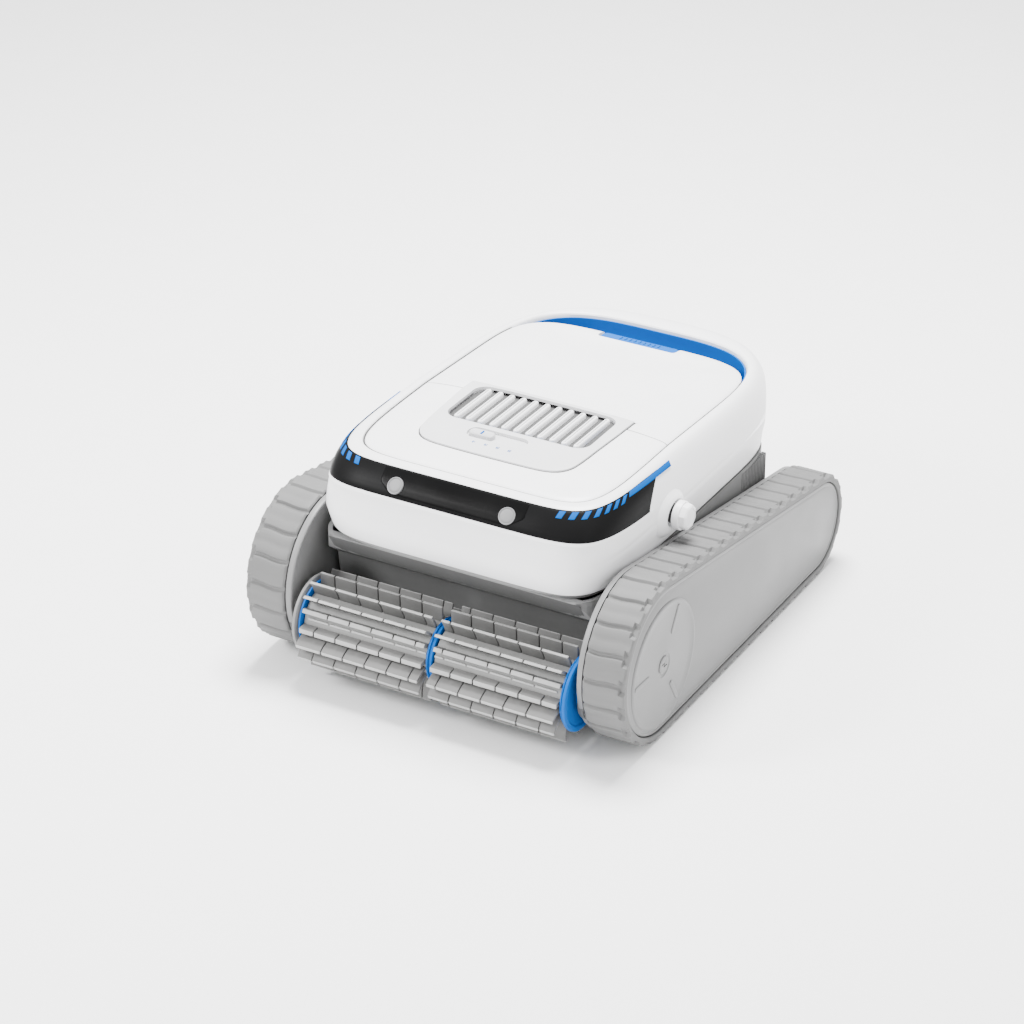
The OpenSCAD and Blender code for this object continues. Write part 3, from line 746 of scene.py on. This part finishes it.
def frame_plate(sd, tag):
    """Inner side frame: a flanged plate with a stepped rim and a ring round the brush bearing."""
    rs = []
    for d, x in ((0, 156.5), (0, 153), (0.5, 151.6), (1.4, 151.0), (3.4, 151.0), (4.0, 151.6),
                 (5.6, 152.4), (8, 152.6)):
        rs.append([(sd * x, y, z) for y, z in stadium(78 - d, 52 - d)])
    mk("frame_plate_" + tag, *loft(rs), FRAME, reps=("side_frame_" + tag,), slot="frame_grey")
    prof = [(156, 24), (150.6, 23.4), (149.4, 22.4), (149.1, 21), (149.4, 18.6), (150.6, 17.6),
            (150.8, 8), (156, 7.4)]
    mk("brush_bearing_" + tag, *lathe_x(prof, -200, 58, 72, sd), DARK, slot="dark_panel")


for sd, tag in ((-1, "left"), (1, "right")):
    belt(sd, tag)
    cover(sd, tag)
    frame_plate(sd, tag)

# ---------- brush ----------
BY, BZ = -200.0, 58.0


# Angle, tip radius, stagger, lean and half thickness of each row of paddles.
ROWS = [(84, 44, 1, 3, 1.3), (106, 45.5, 0, 5, 1.3), (125, 43.5, 1, 6, 1.3),
        (146, 36.5, 0, 2, 2.0), (176, 38.0, 1, 2, 2.2), (190, 46.5, 0, 5, 1.4),
        (206, 49.4, 1, 6, 1.4), (240, 49.6, 0, 8, 1.4), (268, 49.6, 1, 8, 1.4),
        (292, 49.4, 0, 5, 1.4), (316, 44, 1, 4, 1.3), (340, 44, 0, 3, 1.3), (4, 44, 1, 3, 1.3),
        (28, 44, 0, 3, 1.3), (56, 44, 0, 3, 1.3)]


def brush_half(sd, tag):
    """One half of the brush: paddles with painted highlight on the tips, sleeve, seam ribs (also
    painted highlight), end ring and end disc.
    """
    paddles, tips = [], []
    for a0, r1, stag, lean, thick in ROWS:
        cuts = [14.4 + 23.65 * k + (11.8 if stag else 0.0) for k in range(-1, 6)]
        cuts = [4.2] + [c for c in cuts if 9 < c < 130] + [137.2]
        for c0, c1 in zip(cuts[:-1], cuts[1:]):
            x0, x1 = c0 + 0.65, c1 - 0.65
            stations = []
            for t in (0.0, 0.35, 0.7, 0.9, 0.965, 1.0):
                r = 27.0 + (r1 - 27.0) * t
                th = math.radians(a0 + lean * t * t)
                hw = thick * (1.25 - 0.25 * t)
                c = (0.0, 0.7)[t > 0.98]
                er, et = (math.cos(th), math.sin(th)), (-math.sin(th), math.cos(th))
                stations.append([(sd * x, BY + er[0] * r + et[0] * q, BZ + er[1] * r + et[1] * q)
                                 for x, q in ((x0 + c, -hw), (x1 - c, -hw), (x1 - c, hw),
                                              (x0 + c, hw))])
            paddles.append(loft(stations[:-1]))
            tips.append(loft(stations[-2:]))
    mk("brush_paddles_" + tag, *merge(paddles), BRUSH, body="brush", reps=("brush_fins_" + tag,),
       slot="brush_rubber", bevel=0.4)
    # Paddle tips in the paler grey: painted highlight.
    mk("brush_tips_highlight_" + tag, *merge(tips), BRUSH_HIGHLIGHT, body="brush", slot="brush_rubber", bevel=0.3)
    prof = [(4.2, 26.3), (4.4, 28.6), (4.9, 29.0), (136.2, 29.0), (136.6, 28.6), (136.8, 26.3)]
    mk("brush_sleeve_" + tag, *lathe_x(prof, BY, BZ, 72, sd), CORE, body="brush",
       slot="brush_rubber")
    seams = []
    for a0 in (160, 320):
        th = math.radians(a0)
        er, et = (math.cos(th), math.sin(th)), (-math.sin(th), math.cos(th))
        for k in range(-1, 6):
            x0, x1 = max(4.6, 15.2 + 23.65 * k), min(136.4, 37.3 + 23.65 * k)
            if x1 - x0 > 4:
                seams.append(loft([[(sd * x, BY + er[0] * r + et[0] * q,
                                     BZ + er[1] * r + et[1] * q)
                                    for x, q in ((x0, -.9), (x1, -.9), (x1, .9), (x0, .9))]
                                   for r in (28.4, 30.4)]))
    # Seam ribs in the paler grey: painted highlight along the shaft.
    mk("brush_seam_highlight_" + tag, *merge(seams), BRUSH_HIGHLIGHT, body="brush", slot="brush_rubber", bevel=0.35)
    prof = [(137.6, 26.4), (137.6, 33.6), (138.0, 34.3), (139.2, 34.4), (139.8, 33.8),
            (139.9, 26.4)]
    mk("brush_end_ring_" + tag, *lathe_x(prof, BY, BZ, 96, sd), BLUE, body="brush",
       slot="accent_blue")
    prof = [(141.2, 6.2), (141.2, 36.6), (141.8, 37.7), (143.0, 38.0), (144.4, 37.7),
            (145.0, 36.6), (145.1, 33.0), (144.0, 31.5), (143.6, 14), (145.2, 12.6),
            (145.2, 6.2)]
    mk("brush_disc_" + tag, *lathe_x(prof, BY, BZ, 96, sd), BLUE if sd > 0 else FRAME, body="brush",
       reps=("brush_disc_" + tag,), slot="accent_blue" if sd > 0 else "frame_grey")


brush_half(-1, "left")
brush_half(1, "right")
prof = [(-3.3, 26.2), (-3.3, 31.0), (-2.8, 31.8), (-1.1, 32.0), (-0.8, 30.4), (0.8, 30.4),
        (1.1, 32.0), (2.8, 31.8), (3.3, 31.0), (3.3, 26.2)]
mk("brush_mid_ring", *lathe_x(prof, BY, BZ, 96), BLUE, body="brush", reps=("brush_ring",),
   slot="accent_blue")

# ---------- charging port ----------
CY, CZ = -47.0, 171.0
rs = []
for r in (1.0, 0.97, 0.9, 0.8, 0.68, 0.62, 0.6, 0.42):
    x = 149.4 + {1.0: 0, 0.97: 0.9, 0.9: 2.6, 0.8: 5.0, 0.68: 6.9, 0.62: 7.1, 0.6: 6.6,
                 0.42: 3.0}[r]
    rs.append([(x, CY + 27 * r * math.cos(t) * (1.25 if math.cos(t) < 0 and r > 0.7 else 1.0),
                CZ + 23 * r * math.sin(t)) for t in np.linspace(0, 2 * math.pi, 97)[:-1]])
mk("port_blister", *loft(rs), WHITE, reps=("port_boss",), slot="shell_white")
rs = []
for x, r, oct_ in ((157.6, 12.6, 0), (158.6, 13.9, 0), (163.6, 14.0, 0), (164.8, 13.6, 0),
                   (165.2, 12.2, .6), (170.4, 11.4, 1), (171.6, 10.2, 1), (171.9, 8.6, 1),
                   (171.2, 7.9, 0.6), (171.2, 0.4, 0)):
    ring = []
    for t in np.linspace(0, 2 * math.pi, 65)[:-1]:
        q = ((t + math.pi / 8) % (math.pi / 4)) - math.pi / 8
        rr = r * ((1 - oct_) + oct_ * 1.05 / math.cos(q) * math.cos(math.pi / 8) ** 0.5)
        ring.append((x, CY + rr * math.cos(t), CZ + rr * math.sin(t)))
    rs.append(ring)
mk("port_cap_knob", *loft(rs), WHITE2, body="cap", reps=("port_cap",), slot="shell_white")

# ---------- chassis front ----------
# Flange under the shell's edge, closing the chassis.
rs = [[(x, y, z) for x, y in outline(w, yf, yb, 8.0, 5.0)]
      for z, w, yf, yb in ((138.4, 140.0, -184.0, 190.0), (138.4, 145.0, -188.6, 196.0),
                           (139.2, 146.0, -189.8, 197.0), (142.8, 146.6, -190.4, 197.6),
                           (144.6, 146.0, -189.4, 196.8), (144.6, 140.0, -184.0, 190.0))]
mk("chassis_flange", *loft(rs, loop=True), FRAME, slot="chassis_grey")

# Dark panel with rounded lower corners, following the bend of the chassis front.
BEND = [(0.0, -160.5, 106.0), (9.0, -167.9, 111.1), (14.0, -171.9, 114.1), (19.0, -175.3, 117.7),
        (24.0, -178.0, 121.9), (43.0, -188.4, 138.0)]


def bend(t, d):
    """Point at distance t up the chassis front, d proud of it, as (y, z)."""
    b = np.array(BEND)
    y, z = np.interp(t, b[:, 0], b[:, 1]), np.interp(t, b[:, 0], b[:, 2])
    n = (-0.74, 0.67) if t < 12 else (-0.845, 0.537)
    return y + n[0] * d, z + n[1] * d


pts = [(x, t) for x, t in rrect(-133, 133, 0, 42, 17, 10)]
pts = [p for p in pts if p[1] <= 25.1] + [(133, 33), (133, 42), (60, 42), (0, 42), (-60, 42),
                                          (-133, 42), (-133, 33)]
pts = sorted(pts, key=lambda p: math.atan2(p[1] - 24, p[0]))
rs = []
for d, g in ((0.1, 1.0), (0.9, 1.0), (1.1, 0.985), (1.1, 0.8), (1.1, 0.6), (1.1, 0.4), (1.1, 0.2),
             (1.1, 0.02)):
    rs.append([(x * (1 - (1 - g) * 0.15), *bend(24 + (t - 24) * g, d)) for x, t in pts])
mk("front_recess", *loft(rs), DARK, reps=("front_panel",), slot="dark_panel")

# Vent ribs on the rear of the chassis sides and across its back.
vents = []
for sd in (-1, 1):
    for i in range(16):
        vents.append(loft([[(sd * x, 112 + 3.4 * i + y, z) for x, y in
                            ((144.0, 0), (148.6, 0.4), (148.6, 1.6), (144.0, 2.0))]
                           for z in (102, 136)]))
for i in range(-16, 17):
    vents.append(loft([[(i * 6.4 + x, y, z) for x, y in
                        ((-1.2, 194), (-1.0, 199.6), (1.0, 199.6), (1.2, 194))]
                       for z in (70, 125)]))
mk("vent_ribs", *merge(vents), CHASSIS, slot="chassis_grey", bevel=0.3)

# ---------- kept CAD nodes: bevels and finishes ----------
KEEP = {"base_tray": (CHASSIS, 1.6), "outlet_duct": (FRAME, 0.5), "lid_seal": (RUBBER_AND_SEAM_SHADE, 0.3),
        "hinge_pin_left": (STEEL, 0.2), "hinge_pin_right": (STEEL, 0.2),
        "axle_front_left": (STEEL, 0.4), "axle_front_right": (STEEL, 0.4),
        "axle_rear_left": (STEEL, 0.4), "axle_rear_right": (STEEL, 0.4),
        "drive_wheel_left": (CHASSIS, 0.8), "drive_wheel_right": (CHASSIS, 0.8),
        "idler_wheel_left": (CHASSIS, 0.8), "idler_wheel_right": (CHASSIS, 0.8),
        "brush_core": (CHASSIS, 0.5), "drive_motor_left": (STEEL, 0.6),
        "drive_motor_right": (STEEL, 0.6), "pump_motor": (STEEL, 0.6), "impeller": (FRAME, 0.3),
        "battery_pack": (DARK, 0.8), "control_board": (BOARD, 0.2), "intake_duct": (CHASSIS, 0.4),
        "filter_basket": (FRAME, 0.5), "filter_mesh": (MESH, 0.0), "inlet_flap": (RUBBER_AND_SEAM_SHADE, 0.3),
        "charge_port": (DARK, 0.2)}
for name, (mat, bev) in KEEP.items():
    ob = N[name]
    ob.data.materials.clear()
    ob.data.materials.append(mat)
    finish_mods(ob, bevel=bev)

# ---------- stage, light, camera ----------
fl = bmesh.new()
bmesh.ops.create_grid(fl, x_segments=8, y_segments=8, size=6.0)
me = bpy.data.meshes.new("floor")
fl.to_mesh(me)
fl.free()
FLOOR = plastic("floor_pale", (0.90, 0.90, 0.90), 0.75, grain=300, bump=0.01, vary=0.004)
me.materials.append(FLOOR)
floor = bpy.data.objects.new("floor", me)
bpy.context.scene.collection.objects.link(floor)

world = bpy.data.worlds.new("studio")
bpy.context.scene.world = world
world.use_nodes = True
world.node_tree.nodes["Background"].inputs["Color"].default_value = (1, 1, 1, 1)
world.node_tree.nodes["Background"].inputs["Strength"].default_value = 1.35


def area(name, loc, target, size, power):
    d = bpy.data.lights.new(name, "AREA")
    d.shape, d.size, d.energy = "DISK", size, power
    o = bpy.data.objects.new(name, d)
    bpy.context.scene.collection.objects.link(o)
    o.location = loc
    o.rotation_euler = (Vector(target) - Vector(loc)).to_track_quat("-Z", "Y").to_euler()


area("top_soft", (-0.1, 0.5, 2.2), (0, 0, 0.1), 1.1, 205)
area("key_left", (-1.3, -1.4, 1.5), (0, 0, 0.1), 0.7, 62)
area("fill_right", (1.9, -0.6, 1.0), (0, 0, 0.1), 1.2, 8)
area("front_low", (-0.2, -2.4, 0.55), (0, -0.2, 0.08), 0.8, 14)

az, el = math.radians(29.46), math.radians(28.73)
back = Vector((math.sin(az) * math.cos(el), -math.cos(az) * math.cos(el), math.sin(el)))
right = Vector((math.cos(az), math.sin(az), 0))
up = back.cross(right)
cam = bpy.data.objects.new("camera", bpy.data.cameras.new("camera"))
bpy.context.scene.collection.objects.link(cam)
m = Matrix((right, up, back)).transposed().to_4x4()
m.translation = Vector((1.3280, -2.4275, 1.6249))
cam.matrix_world = m
cam.data.sensor_width = 36
cam.data.lens = 3285.14 * 36 / 1024
cam.data.clip_end = 60
bpy.context.scene.camera = cam
